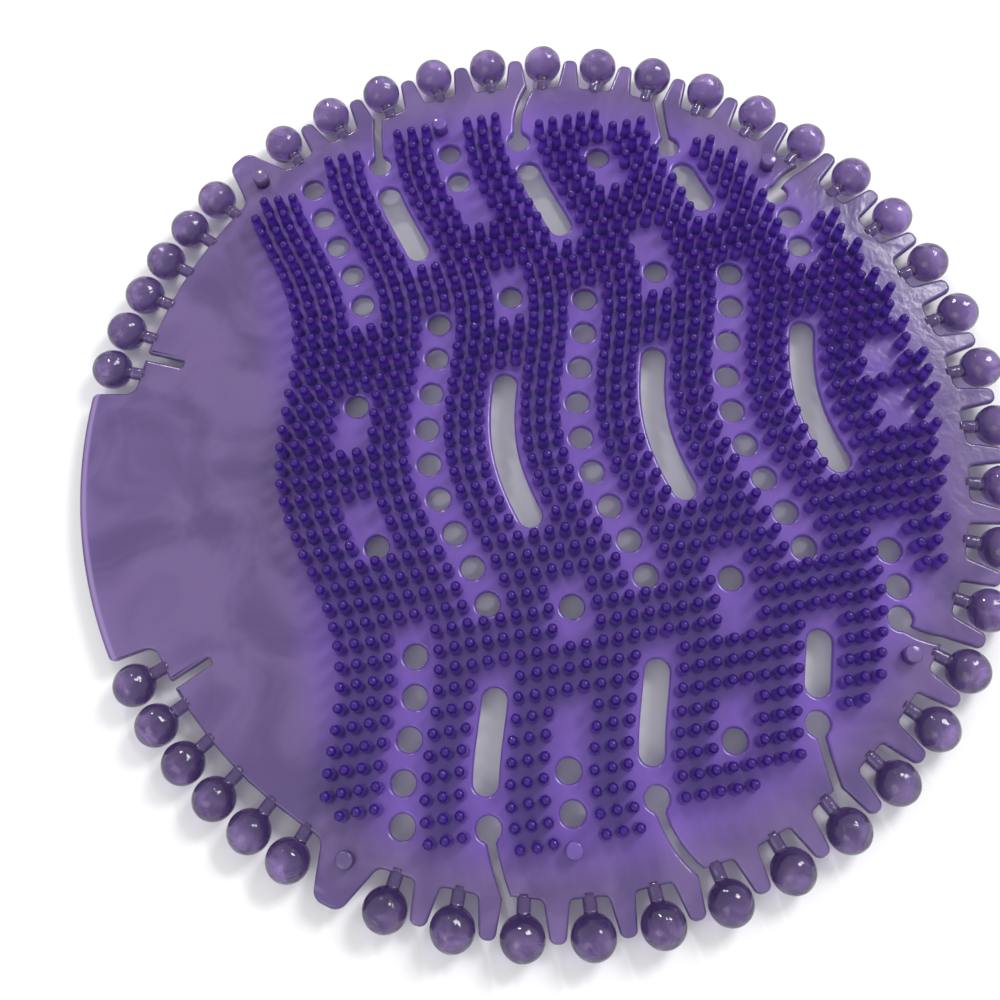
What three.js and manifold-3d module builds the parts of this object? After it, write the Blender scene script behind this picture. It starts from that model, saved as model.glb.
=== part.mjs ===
// Urinal deodorizer screen: one flexible moulding, a round drain screen with a wavy field of anti-splash
// bristles on a thin plate, drain holes and slots in its lanes, and a rim of balls on short necks.
// Units are millimetres, +Z is up. The origin is on the surface that the screen lies on, under the centre
// of its ring of balls. The smooth lip is towards -X, and one half mirrors the other across Y = 0.
import * as THREE from "three";
import { mergeVertices } from "three/addons/utils/BufferGeometryUtils.js";
import Module from "manifold-3d";

const wasm = await Module();
wasm.setup();

// Plate, held off the floor by the balls and feet
const plateRadius = 81.8;
const plateThickness = 2;
const plateClearance = 3;

// Smooth lip at the front edge, where the screen is gripped
const lipRadius = 90.2;
const lipHalfAngle = 17.5;
const lipCornerRadius = 3;
const lipArcPoints = 7;

// Balls round the rim, at angles in degrees from the middle of the lip
const ballDiameter = 8;
const ballRingRadius = 88;
const neckWidth = 2.2;
const dateBallsPerSide = 6;
const firstDateBallAngle = 21.3;
const dateBallPitch = 5.63;
const rimBalls = 31;
const firstRimBallAngle = 61.9;

// A tongue between each two rim balls, and a broad one where the date balls end
const tongueTipRadius = 88.8;
const tongueWidth = 2.8;
const tongueRootFlare = 0.8;
const broadTongueAngle = 55.6;
const broadTongueTipRadius = 91.2;
const broadTongueWidth = 5;
const broadTongueRootFlare = 3;

// Bristles stand on rows across the screen, and their columns run along it in one wave
const rowPitch = 3.6;
const columnPitch = 3;
const firstColumnX = -50;
const waveDepth = 6.9;
const waveLength = 67.4;
const bristleWidth = 2.8;
const bristleHeight = 6;
const bristleSides = 3;
const fieldRadius = 72;
const fieldRows = 20;
const fieldColumns = 44;

// Rows that stop short of the round edge of the field, with their first and last column
const shortRows = {
  11: [0, 33], 12: [0, 33], 13: [0, 33], 14: [0, 33], 15: [0, 33], 16: [0, 32],
  17: [0, 29], 18: [6, 28], 19: [6, 25], 20: [11, 18],
};

// Lanes two columns wide follow the wave, with three columns of bristles between them
const firstLaneColumn = 4;
const laneColumns = 2;
const lanePitchColumns = 5;
const holeDiameter = 4.5;
const slotWidth = 4.6;
const footDiameter = 4;
const openingSides = 5;

// What is in each lane from the lip across, in rows from the middle: where bristles cross it, its holes,
// its slots from end to end and its feet. Each of them is repeated on the other side of the middle.
const lanes = [
  { crossed: [[0, 1], [5, 8]], holes: [4, 10, 12, 14, 16, 18], slots: [], feet: [2.5] },
  { crossed: [[9, 11]], holes: [0, 2, 4, 6, 8, 18.8], slots: [[12.2, 17.3]], feet: [] },
  { crossed: [[5, 7], [11, 13]], holes: [8.9, 16.8, 18.8], slots: [[-4.4, 4.4]], feet: [14.6] },
  { crossed: [[9, 11]], holes: [0, 2, 4, 6, 8, 18.8], slots: [[12.2, 17.3]], feet: [] },
  { crossed: [[5, 7], [12, 14], [18, 19]], holes: [8.9, 16.8], slots: [[-4.4, 4.4]], feet: [10.6] },
  { crossed: [[9, 11]], holes: [0, 2, 4, 6, 8, 16.7], slots: [[12.2, 15.5]], feet: [] },
  { crossed: [[5, 7]], holes: [8.9, 10.8, 12.4], slots: [[-4.4, 4.4]], feet: [] },
  { crossed: [[0, 0], [3, 10]], holes: [], slots: [], feet: [1.8] },
];

// Tear slits from the last hole of a lane out to the rim, ending so many ball pitches past the first rim ball
const slitWidth = 1.2;
const tearSlits = [
  { lane: 1, row: 18.8, pitches: 1.75 },
  { lane: 3, row: 18.8, pitches: 4.75 },
  { lane: 5, row: 16.7, pitches: 7.25 },
  { lane: 6, row: 12.4, pitches: 10.25 },
];

// A short slit beside the first date ball lets the lip fold up
const foldSlitAngle = 24;
const foldSlitLength = 8;

// Round studs on the plate near the rim
const studDiameter = 3.2;
const studHeight = 3;
const studs = [
  { angle: 55.6, radius: 83 },
  { angle: 84.2, radius: 74 },
  { angle: 138.6, radius: 77.8 },
];

// How far pieces run into the plate where they join it, and how far cutters run past it
const rootDepth = 0.5;
const cutterReach = 1;

const plateTop = plateClearance + plateThickness;
const rimBallPitch = (360 - 2 * firstRimBallAngle) / (rimBalls - 1);

// A point on the plate's plane at an angle from the lip, a radius and a distance sideways from that radius
function rimPoint(angle, radius, aside = 0) {
  const turn = THREE.MathUtils.degToRad(angle);
  return new THREE.Vector2(
    aside * Math.sin(turn) - radius * Math.cos(turn),
    aside * Math.cos(turn) + radius * Math.sin(turn),
  );
}

function columnX(column, y) {
  const wave = (waveDepth / 2) * (1 - Math.cos((2 * Math.PI * y) / waveLength));
  return firstColumnX + column * columnPitch + wave;
}

function lanePoint(lane, row) {
  const middleColumn = firstLaneColumn + lane * lanePitchColumns + (laneColumns - 1) / 2;
  const y = row * rowPitch;
  return new THREE.Vector2(columnX(middleColumn, y), y);
}

function solid(geometry) {
  const bare = geometry.clone();
  bare.deleteAttribute("normal");
  bare.deleteAttribute("uv");
  const merged = mergeVertices(bare);
  return new wasm.Manifold(
    new wasm.Mesh({
      numProp: 3,
      vertProperties: merged.attributes.position.array,
      triVerts: new Uint32Array(merged.index.array),
    }),
  );
}

function prism(points, bottom, top) {
  const shape = new THREE.Shape(points);
  const geometry = new THREE.ExtrudeGeometry(shape, { depth: top - bottom, bevelEnabled: false });
  return solid(geometry.translate(0, 0, bottom));
}

// A round or tapered peg that stands along Z
function peg(point, bottomWidth, topWidth, bottom, top, sides) {
  const geometry = new THREE.CylinderGeometry(topWidth / 2, bottomWidth / 2, top - bottom, sides);
  return solid(geometry.rotateX(Math.PI / 2).translate(point.x, point.y, (bottom + top) / 2));
}

function cutter(points) {
  return prism(points, plateClearance - cutterReach, plateTop + cutterReach);
}

// Repeats places that are off the middle line on the other side of it
function bothSides(points) {
  const mirrored = points.filter((point) => point.y !== 0);
  return [...points, ...mirrored.map((point) => new THREE.Vector2(point.x, -point.y))];
}

function ballAngles() {
  const angles = [];
  for (let i = 0; i < dateBallsPerSide; i++) {
    angles.push(firstDateBallAngle + i * dateBallPitch);
    angles.push(360 - firstDateBallAngle - i * dateBallPitch);
  }
  for (let i = 0; i < rimBalls; i++) {
    angles.push(firstRimBallAngle + i * rimBallPitch);
  }
  return angles;
}

function neckOutline(angle) {
  return [
    rimPoint(angle, plateRadius, -neckWidth / 2),
    rimPoint(angle, ballRingRadius, -neckWidth / 2),
    rimPoint(angle, ballRingRadius, neckWidth / 2),
    rimPoint(angle, plateRadius, neckWidth / 2),
  ];
}

function tongueOutline(angle, tipRadius, width, rootFlare) {
  return [
    rimPoint(angle, plateRadius, -width / 2 - rootFlare),
    rimPoint(angle, tipRadius, -width / 2),
    rimPoint(angle, tipRadius, width / 2),
    rimPoint(angle, plateRadius, width / 2 + rootFlare),
  ];
}

// Half of the lip, from its middle to the notch beside the first date ball
function lipOutline() {
  const points = [];
  const cornerAngle = THREE.MathUtils.radToDeg(lipCornerRadius / lipRadius);
  for (let i = 0; i < lipArcPoints; i++) {
    points.push(rimPoint(((lipHalfAngle - cornerAngle) * i) / (lipArcPoints - 1), lipRadius));
  }
  points.push(rimPoint(lipHalfAngle, lipRadius - lipCornerRadius));
  points.push(rimPoint(lipHalfAngle, plateRadius + lipCornerRadius / 2));
  return points;
}

function plateOutline() {
  const half = lipOutline();
  for (let i = 0; i < dateBallsPerSide; i++) {
    half.push(...neckOutline(firstDateBallAngle + i * dateBallPitch));
  }
  half.push(
    ...tongueOutline(broadTongueAngle, broadTongueTipRadius, broadTongueWidth, broadTongueRootFlare),
  );
  const rim = [];
  for (let i = 0; i < rimBalls; i++) {
    rim.push(...neckOutline(firstRimBallAngle + i * rimBallPitch));
    if (i < rimBalls - 1) {
      const angle = firstRimBallAngle + (i + 0.5) * rimBallPitch;
      rim.push(...tongueOutline(angle, tongueTipRadius, tongueWidth, tongueRootFlare));
    }
  }
  const otherHalf = half.slice(1).map((point) => new THREE.Vector2(point.x, -point.y));
  return [...half, ...rim, ...otherHalf.reverse()];
}

// Twenty-sided ball, drawn out sideways so that its two rings of corners reach the full diameter
function ball(angle) {
  const place = rimPoint(angle, ballRingRadius);
  const tipTilt = Math.atan2(2, 1 + Math.sqrt(5));
  const geometry = new THREE.IcosahedronGeometry(ballDiameter / 2, 0)
    .rotateX(tipTilt)
    .scale(Math.sqrt(5) / 2, Math.sqrt(5) / 2, 1)
    .rotateZ(THREE.MathUtils.degToRad(180 - angle))
    .translate(place.x, place.y, ballDiameter / 2);
  return solid(geometry);
}

function band(centreLine, width) {
  const left = [];
  const right = [];
  centreLine.forEach((point, i) => {
    const before = centreLine[Math.max(i - 1, 0)];
    const after = centreLine[Math.min(i + 1, centreLine.length - 1)];
    const along = after.clone().sub(before).normalize();
    const aside = new THREE.Vector2(-along.y, along.x).multiplyScalar(width / 2);
    left.push(point.clone().add(aside));
    right.unshift(point.clone().sub(aside));
  });
  return [left, right];
}

// Slot of even width along a lane, with a point halfway round each end
function slotOutline(lane, firstRow, lastRow) {
  const endRows = slotWidth / 2 / rowPitch;
  const steps = Math.max(2, Math.round((lastRow - firstRow) / 2.2));
  const centreLine = [];
  for (let i = 0; i <= steps; i++) {
    const row = firstRow + endRows + ((lastRow - firstRow - 2 * endRows) * i) / steps;
    centreLine.push(lanePoint(lane, row));
  }
  const [left, right] = band(centreLine, slotWidth);
  return [...left, lanePoint(lane, lastRow), ...right, lanePoint(lane, firstRow)];
}

function mirroredOutline(points) {
  return points.map((point) => new THREE.Vector2(point.x, -point.y));
}

function openings() {
  const cutters = [];
  const bottom = plateClearance - cutterReach;
  const top = plateTop + cutterReach;
  lanes.forEach(({ holes, slots }, lane) => {
    for (const point of bothSides(holes.map((row) => lanePoint(lane, row)))) {
      cutters.push(peg(point, holeDiameter, holeDiameter, bottom, top, openingSides));
    }
    for (const [firstRow, lastRow] of slots) {
      const outline = slotOutline(lane, firstRow, lastRow);
      cutters.push(cutter(outline));
      if (firstRow > 0) cutters.push(cutter(mirroredOutline(outline)));
    }
  });
  for (const outline of slitOutlines()) {
    cutters.push(cutter(outline), cutter(mirroredOutline(outline)));
  }
  return wasm.Manifold.union(cutters);
}

function slitOutlines() {
  const mouthRadius = plateRadius + cutterReach;
  const lines = tearSlits.map(({ lane, row, pitches }) => [
    lanePoint(lane, row),
    rimPoint(firstRimBallAngle + pitches * rimBallPitch, mouthRadius),
  ]);
  lines.push([rimPoint(foldSlitAngle, plateRadius - foldSlitLength), rimPoint(foldSlitAngle, mouthRadius)]);
  return lines.map((line) => band(line, slitWidth).flat());
}

function isCrossed(lane, row) {
  return lanes[lane].crossed.some(([first, last]) => row >= first && row <= last);
}

function hasBristle(column, row) {
  const [first, last] = shortRows[row] ?? [0, fieldColumns - 1];
  if (column < first || column > last) return false;
  const lane = Math.floor((column - firstLaneColumn) / lanePitchColumns);
  const columnInLane = column - firstLaneColumn - lane * lanePitchColumns;
  const inLane = lane >= 0 && lane < lanes.length && columnInLane < laneColumns;
  return !inLane || isCrossed(lane, row);
}

function bristlePoints() {
  const points = [];
  for (let row = 0; row <= fieldRows; row++) {
    for (let column = 0; column < fieldColumns; column++) {
      const point = new THREE.Vector2(columnX(column, row * rowPitch), row * rowPitch);
      if (point.length() < fieldRadius && hasBristle(column, row)) points.push(point);
    }
  }
  return bothSides(points);
}

function screenSolid() {
  const pieces = [prism(plateOutline(), plateClearance, plateTop).subtract(openings())];
  const rootHeight = plateTop - rootDepth;
  for (const angle of ballAngles()) pieces.push(ball(angle));
  for (const point of bristlePoints()) {
    pieces.push(peg(point, bristleWidth, 0, rootHeight, plateTop + bristleHeight, bristleSides));
  }
  for (const point of bothSides(studs.map(({ angle, radius }) => rimPoint(angle, radius)))) {
    pieces.push(peg(point, studDiameter, studDiameter, rootHeight, plateTop + studHeight, openingSides));
  }
  lanes.forEach(({ feet }, lane) => {
    for (const point of bothSides(feet.map((row) => lanePoint(lane, row)))) {
      pieces.push(peg(point, footDiameter, footDiameter, 0, plateClearance + rootDepth, openingSides));
    }
  });
  return wasm.Manifold.union(pieces);
}

const made = screenSolid().getMesh();
const geometry = new THREE.BufferGeometry();
geometry.setAttribute("position", new THREE.BufferAttribute(made.vertProperties, 3));
geometry.setIndex(new THREE.BufferAttribute(made.triVerts, 1));
geometry.computeVertexNormals();

const softPlastic = new THREE.MeshStandardMaterial({ color: 0x6a4fa0, roughness: 0.25, metalness: 0 });
const screen = new THREE.Mesh(geometry, softPlastic);
screen.name = "screen";

const part = new THREE.Group();
part.add(screen);
export default part;
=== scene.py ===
import math

import bmesh
import bpy
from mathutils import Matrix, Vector


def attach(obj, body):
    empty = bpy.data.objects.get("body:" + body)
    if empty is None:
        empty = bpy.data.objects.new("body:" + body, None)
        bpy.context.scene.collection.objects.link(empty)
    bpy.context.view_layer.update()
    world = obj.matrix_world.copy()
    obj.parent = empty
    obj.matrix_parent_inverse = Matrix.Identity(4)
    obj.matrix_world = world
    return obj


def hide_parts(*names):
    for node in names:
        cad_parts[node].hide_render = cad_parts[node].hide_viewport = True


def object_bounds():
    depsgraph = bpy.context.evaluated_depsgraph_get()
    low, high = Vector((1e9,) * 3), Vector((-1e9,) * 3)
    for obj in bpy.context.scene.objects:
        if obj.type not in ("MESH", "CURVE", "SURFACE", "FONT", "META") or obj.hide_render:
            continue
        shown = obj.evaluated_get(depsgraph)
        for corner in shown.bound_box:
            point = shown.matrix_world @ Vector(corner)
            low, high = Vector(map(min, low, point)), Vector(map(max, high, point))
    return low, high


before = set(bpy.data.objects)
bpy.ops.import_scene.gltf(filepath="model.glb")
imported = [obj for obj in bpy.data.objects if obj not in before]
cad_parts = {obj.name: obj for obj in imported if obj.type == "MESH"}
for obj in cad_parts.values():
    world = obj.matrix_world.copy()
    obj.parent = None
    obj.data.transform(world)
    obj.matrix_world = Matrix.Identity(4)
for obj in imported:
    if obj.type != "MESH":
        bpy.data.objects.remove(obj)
cad_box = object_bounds()

# Camera: a phone held about 22 cm over the screen, a little towards its near edge, looking almost
# straight down, so that the bristles lean outwards all round.
camera = bpy.data.objects.new("camera", bpy.data.cameras.new("camera"))
camera.data.lens = 43.03
camera.data.shift_x = 0.0237
camera.data.shift_y = -0.1
camera.data.clip_start = 0.01
camera.location = (-0.01237, -0.06961, 0.22673)
camera.rotation_euler = [math.radians(turn) for turn in (19.848, 2.964, -9.637)]
bpy.context.scene.collection.objects.link(camera)
bpy.context.scene.camera = camera
bpy.context.scene.view_settings.view_transform = "Standard"

# Studio: a white paper floor and a soft dome of light. The strongest lamp stands on the right, a broad weak
# one fills in from the left, and a small one far behind puts the glints on the round tips.
floor_paint = bpy.data.materials.new("white_paper")
floor_paint.use_nodes = True
floor_shader = floor_paint.node_tree.nodes["Principled BSDF"]
floor_shader.inputs["Base Color"].default_value = (0.86, 0.86, 0.87, 1)
floor_shader.inputs["Roughness"].default_value = 0.9
floor_mesh = bpy.data.meshes.new("floor")
FLOOR_HALF = 4.0
FLOOR_GAP = 0.0002
floor_mesh.from_pydata(
    [(-FLOOR_HALF, -FLOOR_HALF, 0), (FLOOR_HALF, -FLOOR_HALF, 0),
     (FLOOR_HALF, FLOOR_HALF, 0), (-FLOOR_HALF, FLOOR_HALF, 0)],
    [], [(0, 1, 2, 3)])
floor_mesh.materials.append(floor_paint)
floor = bpy.data.objects.new("floor", floor_mesh)
floor.location.z = cad_box[0][2] - FLOOR_GAP
bpy.context.scene.collection.objects.link(floor)

world = bpy.data.worlds.new("studio")
world.use_nodes = True
world.node_tree.nodes["Background"].inputs["Color"].default_value = (1, 1, 1, 1)
world.node_tree.nodes["Background"].inputs["Strength"].default_value = 0.84
bpy.context.scene.world = world

for name, place, size, power in (
    ("key_lamp", (0.5, 0.3, 0.62), 0.26, 3.8),
    ("fill_lamp", (-0.5, -0.45, 0.7), 0.5, 1.4),
    ("glint_lamp", (-0.15, 0.7, 0.5), 0.05, 1.2),
):
    lamp = bpy.data.lights.new(name, "AREA")
    lamp.size = size
    lamp.energy = power
    lamp_object = bpy.data.objects.new(name, lamp)
    lamp_object.location = place
    lamp_object.rotation_euler = (-Vector(place)).to_track_quat("-Z", "Y").to_euler()
    bpy.context.scene.collection.objects.link(lamp_object)

# Plate: the thin disc of soft purple EVA that carries everything, injection moulded in one shot with the
# rest. It has a smooth lip to grip, drain holes and slots in lanes between the bristles, tear slits to
# the rim, and a rounded edge.
MM = 0.001

# Lengths are in millimetres, and angles in degrees round the rim from the middle of the lip.
PLATE_RADIUS = 81.8
PLATE_BOTTOM = 3.0
PLATE_TOP = 5.0
EDGE_ROUND = 0.6
PLATE_WELD = 0.01
FLAT = 0.999
LIP_RADIUS = 90.2
LIP_HALF_ANGLE = 17.5
LIP_STEPS = 12
LIP_FLARE_ANGLE = 0.7
LIP_CORNER_ROUND = 2.6
LIP_ROOT_ROUND = 2.4
BALL_RING = 88.0
DATE_BALL_START = 21.3
DATE_BALL_PITCH = 5.63
DATE_BALLS = 6
RIM_BALL_START = 61.9
RIM_BALLS = 31
RIM_PITCH = (360 - 2 * RIM_BALL_START) / (RIM_BALLS - 1)
TONGUE_TIP = 88.8
TONGUE_WIDTH = 2.8
TONGUE_FLARE = 0.9
TONGUE_ROOT_ROUND = 1.0
TONGUE_TIP_ROUND = 0.47
BROAD_TONGUE_ANGLE = 55.6
BROAD_TONGUE_TIP = 91.2
BROAD_TONGUE_WIDTH = 5.2
BROAD_TONGUE_FLARE = 3.0
BROAD_TONGUE_ROOT_ROUND = 2.0
ROW_PITCH = 3.6
COLUMN_PITCH = 3.0
FIRST_COLUMN = -50.0
WAVE_DEPTH = 6.9
WAVE_LENGTH = 67.4
HOLE_RADIUS = 2.25
SLOT_WIDTH = 4.6
SLIT_WIDTH = 1.5
SLIT_BEND = 0.55
FOLD_SLIT_ANGLE = 24.0
FOLD_SLIT_LENGTH = 8.0
FOLD_SLIT_ROUND = 0.4
BARE_RIM_ANGLES = (28, 32, 36, 40, 44, 48)
FIRST_LANE_COLUMN = 4
LANE_PITCH = 5
SMOOTH_STEP = math.radians(12)
LEAST_BEND = 0.02
MOST_OF_A_SIDE = 0.48

# Each lane from the lip across, in rows from the middle line and mirrored across it.
LANES = (
    {"crossed": ((0, 1), (5, 8)), "holes": (4, 10, 12, 14, 16, 18), "slots": (), "feet": (2.5,)},
    {"crossed": ((9, 11),), "holes": (0, 2, 4, 6, 8), "slots": ((12.2, 17.3),), "feet": ()},
    {"crossed": ((5, 7), (11, 13)), "holes": (8.9, 16.8, 18.8), "slots": ((-4.4, 4.4),), "feet": (14.6,)},
    {"crossed": ((9, 11),), "holes": (0, 2, 4, 6, 8), "slots": ((12.2, 17.3),), "feet": ()},
    {"crossed": ((5, 7), (12, 14), (18, 19)), "holes": (8.9, 16.8), "slots": ((-4.4, 4.4),),
     "feet": (10.6,)},
    {"crossed": ((9, 11),), "holes": (0, 2, 4, 6, 8), "slots": ((12.2, 15.5),), "feet": ()},
    {"crossed": ((5, 7),), "holes": (8.9, 10.8), "slots": ((-4.4, 4.4),), "feet": ()},
    {"crossed": ((0, 0), (3, 10)), "holes": (), "slots": (), "feet": (1.8,)},
)
# Tear slits: lane and row of the hole they start from, and their mouth in ball pitches round the rim.
TEAR_SLITS = ((1, 18.8, 1.73), (3, 18.8, 4.76), (5, 16.7, 7.27), (6, 12.4, 10.24))


def rim_point(angle, radius, aside=0.0):
    """A point at an angle round the rim, moved a little along the rim."""
    turn = math.radians(angle)
    return Vector((aside * math.sin(turn) - radius * math.cos(turn),
                   aside * math.cos(turn) + radius * math.sin(turn)))


def column_x(column, y):
    """Where a column of the bristle field stands, bent by the one wave that shapes the whole field."""
    wave = WAVE_DEPTH / 2 * (1 - math.cos(2 * math.pi * y / WAVE_LENGTH))
    return FIRST_COLUMN + column * COLUMN_PITCH + wave


def lane_point(lane, row):
    """A point in the middle of a lane, which is two columns wide."""
    y = row * ROW_PITCH
    return Vector((column_x(FIRST_LANE_COLUMN + lane * LANE_PITCH + 0.5, y), y))


def mirrored(points):
    return [Vector((point.x, -point.y)) for point in points]


def rounded(corners):
    """A closed line through corners (point, radius), each corner turned into an arc of its radius."""
    line = []
    for i, (point, radius) in enumerate(corners):
        before = corners[i - 1][0] - point
        after = corners[(i + 1) % len(corners)][0] - point
        bend = before.angle(after) if radius else math.pi
        sweep = math.pi - bend
        if sweep < LEAST_BEND:
            line.append(point)
            continue
        reach = min(radius / math.tan(bend / 2), MOST_OF_A_SIDE * before.length,
                    MOST_OF_A_SIDE * after.length)
        start = point + before.normalized() * reach
        end = point + after.normalized() * reach
        steps = max(2, round(sweep / SMOOTH_STEP))
        middle = point + (before.normalized() + after.normalized()).normalized() * (
            reach / math.cos(bend / 2))
        arc_radius = (start - middle).length
        for step in range(steps + 1):
            share = math.sin(sweep * (1 - step / steps)), math.sin(sweep * step / steps)
            spoke = ((start - middle) * share[0] + (end - middle) * share[1]) / math.sin(sweep)
            line.append(middle + spoke.normalized() * arc_radius)
    return line


def circle(centre, radius, steps=28):
    return [centre + radius * Vector((math.cos(a), math.sin(a)))
            for a in (2 * math.pi * i / steps for i in range(steps))]


def slot(lane, first_row, last_row, steps=14, end_steps=9):
    """The outline of a slot that runs along its lane's wave and has round ends."""
    end = SLOT_WIDTH / 2 / ROW_PITCH
    rows = [first_row + end + (last_row - first_row - 2 * end) * i / steps for i in range(steps + 1)]
    middle = [lane_point(lane, row) for row in rows]
    left, right = [], []
    for i, point in enumerate(middle):
        along = (middle[min(i + 1, steps)] - middle[max(i - 1, 0)]).normalized()
        aside = Vector((-along.y, along.x)) * SLOT_WIDTH / 2
        left.append(point + aside)
        right.append(point - aside)

    def cap(centre, start):
        return [centre + Vector((start.x * math.cos(a) + start.y * math.sin(a),
                                 start.y * math.cos(a) - start.x * math.sin(a)))
                for a in (math.pi * i / end_steps for i in range(1, end_steps))]

    return (left + cap(middle[-1], left[-1] - middle[-1])
            + right[::-1] + cap(middle[0], right[0] - middle[0]))


def tear_slit(lane, row, pitches, steps=10, ring_steps=22):
    """The way in from the rim along one side of a slit, round its hole and out along the other side."""
    hole = lane_point(lane, row)
    mouth = rim_point(RIM_BALL_START + pitches * RIM_PITCH, PLATE_RADIUS)
    bow = Vector((hole.x, hole.y + SLIT_BEND * (mouth.y - hole.y)))
    line = [mouth * (1 - t) ** 2 + bow * 2 * t * (1 - t) + hole * t * t
            for t in (i / steps for i in range(steps + 1))]
    line = [point for point in line if (point - hole).length > HOLE_RADIUS]
    near, far = [], []
    for i, point in enumerate(line):
        along = (line[min(i + 1, len(line) - 1)] - line[max(i - 1, 0)]).normalized()
        aside = Vector((-along.y, along.x)) * SLIT_WIDTH / 2
        near.append(point - aside)
        far.append(point + aside)
    start = math.atan2(*(near[-1] - hole).yx)
    end = math.atan2(*(far[-1] - hole).yx)
    sweep = (end - start) % (2 * math.pi)
    turn = sweep if sweep > math.pi else sweep - 2 * math.pi
    ring = [hole + HOLE_RADIUS * Vector((math.cos(a), math.sin(a)))
            for a in (start + turn * i / ring_steps for i in range(1, ring_steps))]
    return near + ring + far[::-1]


def fold_slit():
    """The slit at one end of the lip, in from the rim and out again."""
    tip = PLATE_RADIUS - FOLD_SLIT_LENGTH
    return [rim_point(FOLD_SLIT_ANGLE, PLATE_RADIUS, -SLIT_WIDTH / 2),
            rim_point(FOLD_SLIT_ANGLE, tip, -SLIT_WIDTH / 2),
            rim_point(FOLD_SLIT_ANGLE, tip, SLIT_WIDTH / 2),
            rim_point(FOLD_SLIT_ANGLE, PLATE_RADIUS, SLIT_WIDTH / 2)]


def tongue(angle, tip, width, flare, root_round):
    """The corners of a tongue that stands out from the rim at an angle and widens to its root."""
    return [(rim_point(angle, PLATE_RADIUS, -width / 2 - flare), root_round),
            (rim_point(angle, tip, -width / 2), TONGUE_TIP_ROUND * width),
            (rim_point(angle, tip, width / 2), TONGUE_TIP_ROUND * width),
            (rim_point(angle, PLATE_RADIUS, width / 2 + flare), root_round)]


def rim_stretch(i, slit):
    """From one rim ball to the next: a tongue, with a tear slit down one side of it where there is one."""
    middle = RIM_BALL_START + (i + 0.5) * RIM_PITCH
    sides = tongue(middle, TONGUE_TIP, TONGUE_WIDTH, TONGUE_FLARE, TONGUE_ROOT_ROUND)
    if slit is None:
        return sides
    edge = [(point, 0) for point in tear_slit(*slit)]
    return edge + sides[1:] if slit[2] < i + 0.5 else sides[:-1] + edge


def plate_outline():
    """Half of the outline from the middle of the lip round to the far side, then its mirror image."""
    lip = [(rim_point(LIP_HALF_ANGLE * i / LIP_STEPS, LIP_RADIUS), 0) for i in range(LIP_STEPS)]
    half = lip + [(rim_point(LIP_HALF_ANGLE, LIP_RADIUS), LIP_CORNER_ROUND),
                  (rim_point(LIP_HALF_ANGLE + LIP_FLARE_ANGLE, PLATE_RADIUS), LIP_ROOT_ROUND)]
    half += [(point, FOLD_SLIT_ROUND) for point in fold_slit()]
    half += [(rim_point(angle, PLATE_RADIUS), 0) for angle in BARE_RIM_ANGLES]
    half += tongue(BROAD_TONGUE_ANGLE, BROAD_TONGUE_TIP, BROAD_TONGUE_WIDTH,
                   BROAD_TONGUE_FLARE, BROAD_TONGUE_ROOT_ROUND)
    slits = {int(slit[2]): slit for slit in TEAR_SLITS}
    for i in range(RIM_BALLS // 2):
        half += rim_stretch(i, slits.get(i))
    other = [(Vector((point.x, -point.y)), radius) for point, radius in reversed(half[1:])]
    return rounded(half + other)


def plate_lines():
    """The plate's outline, holes and slots as closed lines in one plane."""
    lines = [plate_outline()]
    for lane, stock in enumerate(LANES):
        for row in stock["holes"]:
            hole = circle(lane_point(lane, row), HOLE_RADIUS)
            lines.append(hole)
            if row:
                lines.append(mirrored(hole))
        for first_row, last_row in stock["slots"]:
            outline = slot(lane, first_row, last_row)
            lines.append(outline)
            if first_row > 0:
                lines.append(mirrored(outline))
    return lines


plate_curve = bpy.data.curves.new("plate_curve", "CURVE")
plate_curve.dimensions = "2D"
plate_curve.fill_mode = "BOTH"
plate_curve.extrude = ((PLATE_TOP - PLATE_BOTTOM) / 2 - EDGE_ROUND) * MM
plate_curve.bevel_depth = EDGE_ROUND * MM
plate_curve.bevel_resolution = 2
plate_curve.offset = -EDGE_ROUND * MM
for line in plate_lines():
    spline = plate_curve.splines.new("POLY")
    spline.points.add(len(line) - 1)
    for target, point in zip(spline.points, line):
        target.co = (point.x * MM, point.y * MM, 0, 1)
    spline.use_cyclic_u = True
plate_draft = bpy.data.objects.new("plate_draft", plate_curve)
bpy.context.scene.collection.objects.link(plate_draft)
plate_mesh = bpy.data.meshes.new_from_object(
    plate_draft.evaluated_get(bpy.context.evaluated_depsgraph_get()))
bpy.data.objects.remove(plate_draft)
plate_form = bmesh.new()
plate_form.from_mesh(plate_mesh)
bmesh.ops.remove_doubles(plate_form, verts=plate_form.verts, dist=PLATE_WELD * MM)
bmesh.ops.translate(plate_form, verts=plate_form.verts,
                    vec=(0, 0, (PLATE_TOP + PLATE_BOTTOM) / 2 * MM))
bmesh.ops.recalc_face_normals(plate_form, faces=plate_form.faces)
for face in plate_form.faces:
    face.smooth = abs(face.normal.z) < FLAT
plate_form.to_mesh(plate_mesh)
plate_form.free()
plate = bpy.data.objects.new("plate", plate_mesh)
bpy.context.scene.collection.objects.link(plate)

GRAIN_SHARE = 0.12
MARK_DEPTH = 0.6


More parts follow.
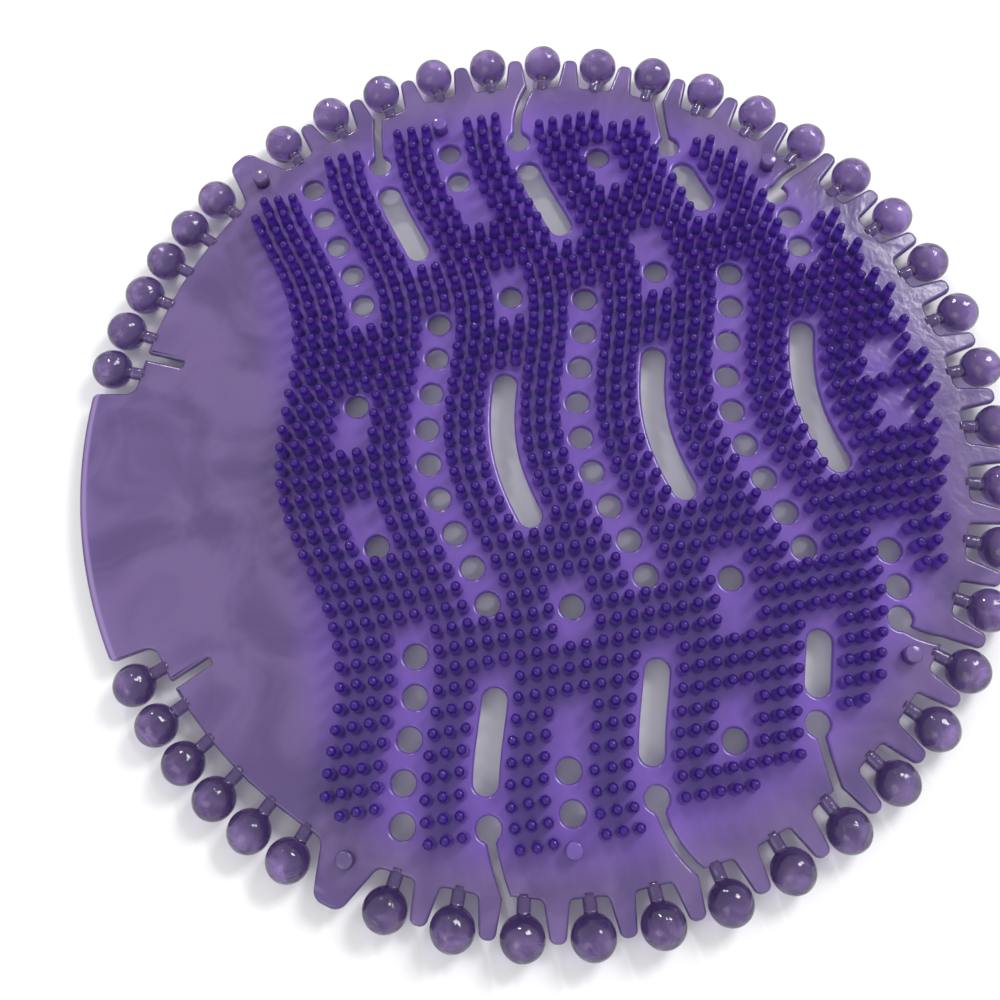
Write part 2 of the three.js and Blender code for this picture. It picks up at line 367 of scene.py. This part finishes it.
def moulded_grain():
    """Cloudy flow marks of a translucent moulding: a tint mask and a shallow normal."""
    group = bpy.data.node_groups.new("moulded_grain", "ShaderNodeTree")
    face = group.interface
    face.new_socket("Vector", in_out="INPUT", socket_type="NodeSocketVector")
    for name, value in (("Cloud Scale", 40.0), ("Grain Scale", 900.0), ("Relief", 0.3)):
        face.new_socket(name, in_out="INPUT", socket_type="NodeSocketFloat").default_value = value
    face.new_socket("Cloud", in_out="OUTPUT", socket_type="NodeSocketFloat")
    face.new_socket("Normal", in_out="OUTPUT", socket_type="NodeSocketVector")
    tree, wire = group.nodes, group.links
    given, out = tree.new("NodeGroupInput"), tree.new("NodeGroupOutput")
    cloud, grain = tree.new("ShaderNodeTexNoise"), tree.new("ShaderNodeTexNoise")
    cloud.inputs["Detail"].default_value = 3
    cloud.inputs["Distortion"].default_value = 0.8
    grain.inputs["Detail"].default_value = 2
    height = tree.new("ShaderNodeMath")
    height.operation = "MULTIPLY_ADD"
    height.inputs[1].default_value = GRAIN_SHARE
    bump = tree.new("ShaderNodeBump")
    bump.inputs["Distance"].default_value = MARK_DEPTH * MM
    wire.new(given.outputs["Vector"], cloud.inputs["Vector"])
    wire.new(given.outputs["Vector"], grain.inputs["Vector"])
    wire.new(given.outputs["Cloud Scale"], cloud.inputs["Scale"])
    wire.new(given.outputs["Grain Scale"], grain.inputs["Scale"])
    wire.new(grain.outputs["Fac"], height.inputs[0])
    wire.new(cloud.outputs["Fac"], height.inputs[2])
    wire.new(height.outputs[0], bump.inputs["Height"])
    wire.new(given.outputs["Relief"], bump.inputs["Strength"])
    wire.new(cloud.outputs["Fac"], out.inputs["Cloud"])
    wire.new(bump.outputs["Normal"], out.inputs["Normal"])
    return group


GRAIN = moulded_grain()
CLOUD_SPAN = (0.35, 0.65)
PLASTIC_IOR = 1.48
TURNED_BLEND = 0.35
# The field's span and share below paint light: the plate where the bristles stand is lifted towards violet.
FIELD_START = (-54.0, -42.0)
FIELD_END = (82.0, 70.0)
FIELD_GLOW = 0.75
LIP_START = (-50.0, -56.0)
# The lip line's span and tint paint a highlight just inside the lip's edge.
LIP_HIGHLIGHT_IN = (1.5, 0.9)
LIP_HIGHLIGHT_OUT = (0.2, 0.6)
FIELD_PAINTED_LIGHT = (0.3, 0.14, 0.74)
LIP_HIGHLIGHT_TINT = (0.38, 0.27, 0.58)


def math_node(tree, operation, *values):
    """A Math node; a value is a number or the socket that feeds it."""
    node = tree.nodes.new("ShaderNodeMath")
    node.operation = operation
    for socket, value in zip(node.inputs, values):
        if isinstance(value, (int, float)):
            socket.default_value = value
        else:
            tree.links.new(value, socket)
    return node.outputs[0]


def colour_mix(tree, amount, first, second):
    """Mixes two colours, each a colour or the socket that feeds it, by the amount's socket."""
    mix = tree.nodes.new("ShaderNodeMix")
    mix.data_type = "RGBA"
    tree.links.new(amount, mix.inputs["Factor"])
    for name, value in (("A", first), ("B", second)):
        socket = next(item for item in mix.inputs if item.name == name and item.type == "RGBA")
        if isinstance(value, tuple):
            socket.default_value = (*value, 1)
        else:
            tree.links.new(value, socket)
    return next(item for item in mix.outputs if item.type == "RGBA")


def ramped(tree, source, low, high):
    """How far a value has come from low to high, from 0 to 1."""
    span = tree.nodes.new("ShaderNodeMapRange")
    span.interpolation_type = "SMOOTHSTEP"
    span.inputs["From Min"].default_value = low
    span.inputs["From Max"].default_value = high
    tree.links.new(source, span.inputs["Value"])
    return span.outputs["Result"]


def split(tree, place):
    """The X, Y and Z of a place."""
    axes = tree.nodes.new("ShaderNodeSeparateXYZ")
    tree.links.new(place, axes.inputs[0])
    return axes.outputs


def from_centre(tree, place):
    """How far a place lies from the middle of the screen's underside, in metres."""
    distance = tree.nodes.new("ShaderNodeVectorMath")
    distance.operation = "LENGTH"
    tree.links.new(place, distance.inputs[0])
    return distance.outputs["Value"]


def soft_plastic(name, dark, light, edge, turn, roughness, transmission, cloud_scale, relief):
    """Translucent soft plastic: two close tints mixed by the flow marks, with painted shade, the edge
    colour, where it turns away from the view.
    """
    paint = bpy.data.materials.new(name)
    paint.use_nodes = True
    tree = paint.node_tree
    shader = tree.nodes["Principled BSDF"]
    place = tree.nodes.new("ShaderNodeTexCoord").outputs["Object"]
    marks = tree.nodes.new("ShaderNodeGroup")
    marks.node_tree = GRAIN
    marks.inputs["Cloud Scale"].default_value = cloud_scale
    marks.inputs["Relief"].default_value = relief
    tree.links.new(place, marks.inputs["Vector"])
    cloud = ramped(tree, marks.outputs["Cloud"], *CLOUD_SPAN)
    # Painted shade: the colour goes over to the edge colour where the surface turns away from the view.
    turned = tree.nodes.new("ShaderNodeLayerWeight")
    turned.inputs["Blend"].default_value = TURNED_BLEND
    rim = ramped(tree, turned.outputs["Facing"], *turn)
    tint = colour_mix(tree, rim, colour_mix(tree, cloud, dark, light), edge)
    tree.links.new(tint, shader.inputs["Base Color"])
    tree.links.new(marks.outputs["Normal"], shader.inputs["Normal"])
    shader.inputs["Roughness"].default_value = roughness
    shader.inputs["IOR"].default_value = PLASTIC_IOR
    shader.inputs["Transmission Weight"].default_value = transmission
    return paint, place, tint


def recoloured(paint, colour):
    """Feeds a colour's socket to the material's shader in place of its tint."""
    tree = paint.node_tree
    tree.links.new(colour, tree.nodes["Principled BSDF"].inputs["Base Color"])
    return paint


def plate_plastic():
    """Milky over the crescent, with painted violet light where the bristles stand and a painted highlight
    line inside the lip's edge.
    """
    paint, place, bare = soft_plastic(
        "plate_plastic", dark=(0.15, 0.095, 0.29), light=(0.24, 0.16, 0.4), edge=(0.045, 0.025, 0.1),
        turn=(0.2, 0.8), roughness=0.17, transmission=0.5, cloud_scale=62, relief=0.5)
    tree = paint.node_tree
    across, distance = split(tree, place)["X"], from_centre(tree, place)
    # Painted light: the plate where the bristles stand is lifted towards violet, for the light the bristles
    # pass on.
    field = math_node(tree, "MULTIPLY", ramped(tree, across, *(edge * MM for edge in FIELD_START)),
                      ramped(tree, distance, *(edge * MM for edge in FIELD_END)))
    glow = math_node(tree, "MULTIPLY", field, FIELD_GLOW)
    lit = colour_mix(tree, glow, bare, FIELD_PAINTED_LIGHT)
    # Painted highlight: a light line just inside the lip's edge.
    on_lip = ramped(tree, across, *(edge * MM for edge in LIP_START))
    highlight_in = ramped(tree, distance, *((LIP_RADIUS - inside) * MM for inside in LIP_HIGHLIGHT_IN))
    highlight_out = ramped(tree, distance, *((LIP_RADIUS - inside) * MM for inside in LIP_HIGHLIGHT_OUT))
    line = math_node(tree, "MULTIPLY", math_node(tree, "MULTIPLY", on_lip, highlight_in), highlight_out)
    return recoloured(paint, colour_mix(tree, line, lit, LIP_HIGHLIGHT_TINT))


plate_mesh.materials.append(plate_plastic())
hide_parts("screen")
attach(plate, "root")

# Bristles: about a thousand soft pins, moulded with the plate, that break up the splash. Each tapers
# to a round tip and leans a hair at random, as soft pins do when they leave the mould.
BRISTLE_HEIGHT = 5.5
BRISTLE_ROOT = 0.2
BRISTLE_BASE_RADIUS = 1.25
BRISTLE_TIP_RADIUS = 0.95
BRISTLE_LEAN = math.radians(1.5)
BRISTLE_SIDES = 8
BRISTLE_STEPS = 4
TIP_SHADE = (1.8, 5.0)
FIELD_RADIUS = 77.0
FIELD_ROWS = 20
FIELD_COLUMNS = 44
SHORT_ROWS = {11: (0, 33), 12: (0, 33), 13: (0, 33), 14: (0, 33), 15: (0, 33), 16: (0, 32),
              17: (0, 29), 18: (6, 28), 19: (6, 25), 20: (11, 18)}
WELD = 0.02
BRISTLE_SEED = 7
# Painted shade: each bristle darkens towards this colour at its round tip, and its foot is left brighter.
TIP_SHADE_TINT = (0.042, 0.007, 0.21)


def points_draft(name, places, turns=None):
    """A mesh of loose points, given in millimetres, with the turn of each one as an attribute."""
    mesh = bpy.data.meshes.new(name)
    mesh.from_pydata([(x * MM, y * MM, z * MM) for x, y, z in places], [], [])
    if turns:
        turn = mesh.attributes.new("turn", "FLOAT", "POINT")
        turn.data.foreach_set("value", turns)
    draft = bpy.data.objects.new(name, mesh)
    bpy.context.scene.collection.objects.link(draft)
    return draft


def node_tool(name, sizes):
    """An empty Geometry Nodes tree with a named input for each size."""
    tree = bpy.data.node_groups.new(name, "GeometryNodeTree")
    tree.interface.new_socket("Geometry", in_out="INPUT", socket_type="NodeSocketGeometry")
    for size in sizes:
        tree.interface.new_socket(size, in_out="INPUT", socket_type="NodeSocketFloat")
    tree.interface.new_socket("Geometry", in_out="OUTPUT", socket_type="NodeSocketGeometry")
    return tree, tree.nodes.new("NodeGroupInput").outputs, tree.nodes.new("NodeGroupOutput").inputs


def unit_drum(tree, sides, steps):
    """A drum of unit radius and height, and the X, Y and Z of its points."""
    drum = tree.nodes.new("GeometryNodeMeshCylinder")
    drum.fill_type = "NGON"
    drum.inputs["Vertices"].default_value = sides
    drum.inputs["Side Segments"].default_value = steps
    drum.inputs["Radius"].default_value = 1.0
    drum.inputs["Depth"].default_value = 1.0
    spot = tree.nodes.new("GeometryNodeInputPosition")
    return drum.outputs["Mesh"], split(tree, spot.outputs[0])


def formed(tree, mesh, *position):
    """The mesh with its points moved to X, Y and Z, and welded where they close an end."""
    joined = tree.nodes.new("ShaderNodeCombineXYZ")
    for value, socket in zip(position, joined.inputs):
        tree.links.new(value, socket)
    shaped = tree.nodes.new("GeometryNodeSetPosition")
    tree.links.new(mesh, shaped.inputs["Geometry"])
    tree.links.new(joined.outputs[0], shaped.inputs["Position"])
    welded = tree.nodes.new("GeometryNodeMergeByDistance")
    welded.inputs["Distance"].default_value = WELD * MM
    tree.links.new(shaped.outputs[0], welded.inputs["Geometry"])
    return welded.outputs[0]


def repeated(tree, points, form, turn, paint, result):
    """The form set on every point with its turn, made real and given its material."""
    placed = tree.nodes.new("GeometryNodeInstanceOnPoints")
    tree.links.new(points, placed.inputs["Points"])
    tree.links.new(form, placed.inputs["Instance"])
    tree.links.new(turn, placed.inputs["Rotation"])
    real = tree.nodes.new("GeometryNodeRealizeInstances")
    tree.links.new(placed.outputs[0], real.inputs[0])
    coated = tree.nodes.new("GeometryNodeSetMaterial")
    coated.inputs["Material"].default_value = paint
    tree.links.new(real.outputs[0], coated.inputs["Geometry"])
    tree.links.new(coated.outputs[0], result)


def finish_piece(draft, tree, sizes, name):
    """Runs the tool on the draft with its sizes, and keeps the result as a plain mesh piece."""
    modifier = draft.modifiers.new(name, "NODES")
    modifier.node_group = tree
    for item in tree.interface.items_tree:
        if item.in_out == "INPUT" and item.name in sizes:
            modifier[item.identifier] = sizes[item.name]
    mesh = bpy.data.meshes.new_from_object(
        draft.evaluated_get(bpy.context.evaluated_depsgraph_get()))
    mesh.name = name
    mesh.shade_smooth()
    piece = bpy.data.objects.new(name, mesh)
    bpy.context.scene.collection.objects.link(piece)
    bpy.data.objects.remove(draft)
    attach(piece, "root")


def has_bristle(column, row):
    """Whether a place in the field has a bristle, or lies off its edge or in a lane."""
    first, last = SHORT_ROWS.get(row, (0, FIELD_COLUMNS - 1))
    if not first <= column <= last:
        return False
    lane, place = divmod(column - FIRST_LANE_COLUMN, LANE_PITCH)
    if 0 <= lane < len(LANES) and place < 2:
        return any(low <= row <= high for low, high in LANES[lane]["crossed"])
    return True


def bristle_plastic():
    """The same plastic, deep violet in a bristle, with painted light and shade: brighter at its foot,
    darkest at its round tip.
    """
    paint, place, body = soft_plastic(
        "bristle_plastic", dark=(0.24, 0.08, 0.76), light=(0.32, 0.12, 0.92), edge=(0.17, 0.045, 0.58),
        turn=(0.3, 0.9), roughness=0.08, transmission=0.3, cloud_scale=160, relief=0.05)
    tree = paint.node_tree
    tree.nodes["Principled BSDF"].inputs["Specular IOR Level"].default_value = 0.3
    height = split(tree, place)["Z"]
    climb = ramped(tree, height, *((PLATE_TOP + above) * MM for above in TIP_SHADE))
    return recoloured(paint, colour_mix(tree, climb, body, TIP_SHADE_TINT))


bristle_places = []
for row in range(-FIELD_ROWS, FIELD_ROWS + 1):
    for column in range(FIELD_COLUMNS):
        y = row * ROW_PITCH
        x = column_x(column, y)
        if math.hypot(x, y) < FIELD_RADIUS and has_bristle(column, abs(row)):
            bristle_places.append((x, y, PLATE_TOP - BRISTLE_ROOT))

bristle_sizes = {"Height": BRISTLE_HEIGHT * MM, "Base Radius": BRISTLE_BASE_RADIUS * MM,
                 "Tip Radius": BRISTLE_TIP_RADIUS * MM, "Lean": BRISTLE_LEAN}
pins, given, out = node_tool("bristle_pins", bristle_sizes)
pin, (side_x, side_y, height) = unit_drum(pins, BRISTLE_SIDES, BRISTLE_STEPS)
# The first ring stands at the foot, the second at the shoulder, and the rest close the round tip.
climb = math_node(pins, "ADD", height, 0.5)
shaft = math_node(pins, "MINIMUM", math_node(pins, "MULTIPLY", climb, BRISTLE_STEPS), 1.0)
past_shoulder = math_node(pins, "MAXIMUM", math_node(pins, "SUBTRACT", climb, 1 / BRISTLE_STEPS), 0.0)
dome = math_node(pins, "MULTIPLY", past_shoulder, math.pi / 2 / (1 - 1 / BRISTLE_STEPS))
taper = math_node(pins, "SUBTRACT", given["Base Radius"], given["Tip Radius"])
width = math_node(pins, "SUBTRACT", given["Base Radius"], math_node(pins, "MULTIPLY", taper, shaft))
width = math_node(pins, "MULTIPLY", width, math_node(pins, "COSINE", dome))
straight = math_node(pins, "SUBTRACT", given["Height"], given["Tip Radius"])
level = math_node(pins, "ADD", math_node(pins, "MULTIPLY", straight, shaft),
                  math_node(pins, "MULTIPLY", given["Tip Radius"], math_node(pins, "SINE", dome)))
pin = formed(pins, pin, math_node(pins, "MULTIPLY", side_x, width),
             math_node(pins, "MULTIPLY", side_y, width), level)
lean = pins.nodes.new("FunctionNodeRandomValue")
lean.data_type = "FLOAT_VECTOR"
lean.inputs["Seed"].default_value = BRISTLE_SEED
least = math_node(pins, "MULTIPLY", given["Lean"], -1.0)
for limit, tilt, spin in ((lean.inputs[0], least, -math.pi), (lean.inputs[1], given["Lean"], math.pi)):
    corner = pins.nodes.new("ShaderNodeCombineXYZ")
    for axis in range(2):
        pins.links.new(tilt, corner.inputs[axis])
    corner.inputs[2].default_value = spin
    pins.links.new(corner.outputs[0], limit)
repeated(pins, given["Geometry"], pin, lean.outputs[0], bristle_plastic(), out[0])
finish_piece(points_draft("bristle_draft", bristle_places), pins, bristle_sizes, "bristles")

# Balls: a rim of solid balls of the same plastic, each on a short round neck. They hold the plate's edge
# off the bowl, and those by the lip are pulled off to mark a date.
BALL_RADIUS = 4.0
BALL_SIDES = 24
BALL_STEPS = 20
BALL_SHARE = 0.75
NECK_RADIUS = 1.25
NECK_ROOT = 0.9
GATHERED = (-2.4, 2.6)
PAST_NECK = (-4.4, -3.4)
# Painted shade on each ball's side towards the plate; the necks get a tint of their own.
INNER_SHADE_TINT = (0.1, 0.06, 0.2)
NECK_TINT = (0.18, 0.115, 0.32)


def ball_plastic():
    """The balls are clear enough to gather light, painted into the colour: deep violet painted shade
    towards the plate, painted light on the far side.
    """
    paint, place, ball = soft_plastic(
        "ball_plastic", dark=(0.2, 0.12, 0.35), light=(0.52, 0.35, 0.78), edge=(0.035, 0.018, 0.075),
        turn=(0.12, 0.66), roughness=0.05, transmission=0.75, cloud_scale=230, relief=0.8)
    tree = paint.node_tree
    distance = from_centre(tree, place)
    gathered = ramped(tree, distance, *((BALL_RING + along) * MM for along in GATHERED))
    lit = colour_mix(tree, gathered, INNER_SHADE_TINT, ball)
    past_neck = ramped(tree, distance, *((BALL_RING + along) * MM for along in PAST_NECK))
    return recoloured(paint, colour_mix(tree, past_neck, NECK_TINT, lit))


ball_angles = []
for angle in (DATE_BALL_START + DATE_BALL_PITCH * i for i in range(DATE_BALLS)):
    ball_angles += [angle, 360 - angle]
ball_angles += [RIM_BALL_START + i * RIM_PITCH for i in range(RIM_BALLS)]

ball_sizes = {"Ball Radius": BALL_RADIUS * MM, "Neck Angle": math.asin(NECK_RADIUS / BALL_RADIUS),
              "Neck End": (BALL_RING - PLATE_RADIUS + NECK_ROOT) * MM}
balls, given, out = node_tool("rim_balls", ball_sizes)
drum, (side_x, side_y, height) = unit_drum(balls, BALL_SIDES, BALL_STEPS)
# The first rings of the drum are drawn round the ball as far as the neck, and the rest run along the neck.
run = math_node(balls, "ADD", height, 0.5)
swing = math_node(balls, "MINIMUM", math_node(balls, "DIVIDE", run, BALL_SHARE), 1.0)
swing = math_node(balls, "MULTIPLY", swing, math_node(balls, "SUBTRACT", math.pi, given["Neck Angle"]))
radius = given["Ball Radius"]
girth = math_node(balls, "MULTIPLY", radius, math_node(balls, "SINE", swing))
reach = math_node(balls, "MULTIPLY", radius, math_node(balls, "COSINE", swing))
neck_start = math_node(balls, "MULTIPLY", radius, math_node(balls, "COSINE", given["Neck Angle"]))
straight = math_node(balls, "SUBTRACT", given["Neck End"], neck_start)
past_ball = math_node(balls, "MAXIMUM", math_node(balls, "SUBTRACT", run, BALL_SHARE), 0.0)
along = math_node(balls, "DIVIDE", past_ball, 1 - BALL_SHARE)
ball = formed(
    balls, drum, math_node(balls, "SUBTRACT", math_node(balls, "MULTIPLY", straight, along), reach),
    math_node(balls, "MULTIPLY", side_y, girth),
    math_node(balls, "MULTIPLY", side_x, math_node(balls, "MULTIPLY", girth, -1.0)))
turn = balls.nodes.new("GeometryNodeInputNamedAttribute")
turn.inputs["Name"].default_value = "turn"
spin = balls.nodes.new("ShaderNodeCombineXYZ")
balls.links.new(turn.outputs["Attribute"], spin.inputs[2])
repeated(balls, given["Geometry"], ball, spin.outputs[0], ball_plastic(), out[0])
ball_draft = points_draft(
    "ball_draft",
    [(*rim_point(angle, BALL_RING), BALL_RADIUS) for angle in ball_angles],
    [math.radians(-angle) for angle in ball_angles])
finish_piece(ball_draft, balls, ball_sizes, "rim_balls")

# Studs and feet: short round pegs of the same moulding. Three pairs of studs stand on the plate near the
# rim, and the feet under the lanes hold the middle of the plate off the bowl.
STUD_RADIUS = 1.6
STUD_HEIGHT = 3.0
STUDS = ((BROAD_TONGUE_ANGLE, 83.0), (84.2, 74.0), (138.6, 77.8))
FOOT_RADIUS = 2.0
PEG_ROUND = 0.4
PEG_SHOULDER = 0.3
PEG_SIDES = 20


def peg(form, centre, radius, root, tip):
    """A round peg from its root to its tip, with the edge of the tip rounded over."""
    away = 1 if tip > root else -1
    levels = [(root, radius), (tip - away * PEG_ROUND, radius),
              (tip - away * PEG_ROUND * PEG_SHOULDER, radius - PEG_ROUND * PEG_SHOULDER),
              (tip, radius - PEG_ROUND)]
    rings = [[form.verts.new((point.x * MM, point.y * MM, z * MM))
              for point in circle(centre, ring_radius, PEG_SIDES)] for z, ring_radius in levels]
    for low, high in zip(rings, rings[1:]):
        for i in range(PEG_SIDES):
            form.faces.new((low[i - 1], low[i], high[i], high[i - 1]))
    form.faces.new(rings[0])
    form.faces.new(rings[-1])


peg_form = bmesh.new()
for angle, radius in STUDS:
    spot = rim_point(angle, radius)
    for centre in (spot, *mirrored([spot])):
        peg(peg_form, centre, STUD_RADIUS, PLATE_TOP - PEG_ROUND, PLATE_TOP + STUD_HEIGHT)
for lane, stock in enumerate(LANES):
    for row in stock["feet"]:
        spot = lane_point(lane, row)
        for centre in (spot, *mirrored([spot])):
            peg(peg_form, centre, FOOT_RADIUS, PLATE_BOTTOM + PEG_ROUND, 0.0)
bmesh.ops.recalc_face_normals(peg_form, faces=peg_form.faces)
peg_mesh = bpy.data.meshes.new("studs_and_feet")
peg_form.to_mesh(peg_mesh)
peg_form.free()
peg_mesh.shade_smooth()
peg_mesh.materials.append(plate_mesh.materials[0])
pegs = bpy.data.objects.new("studs_and_feet", peg_mesh)
bpy.context.scene.collection.objects.link(pegs)
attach(pegs, "root")
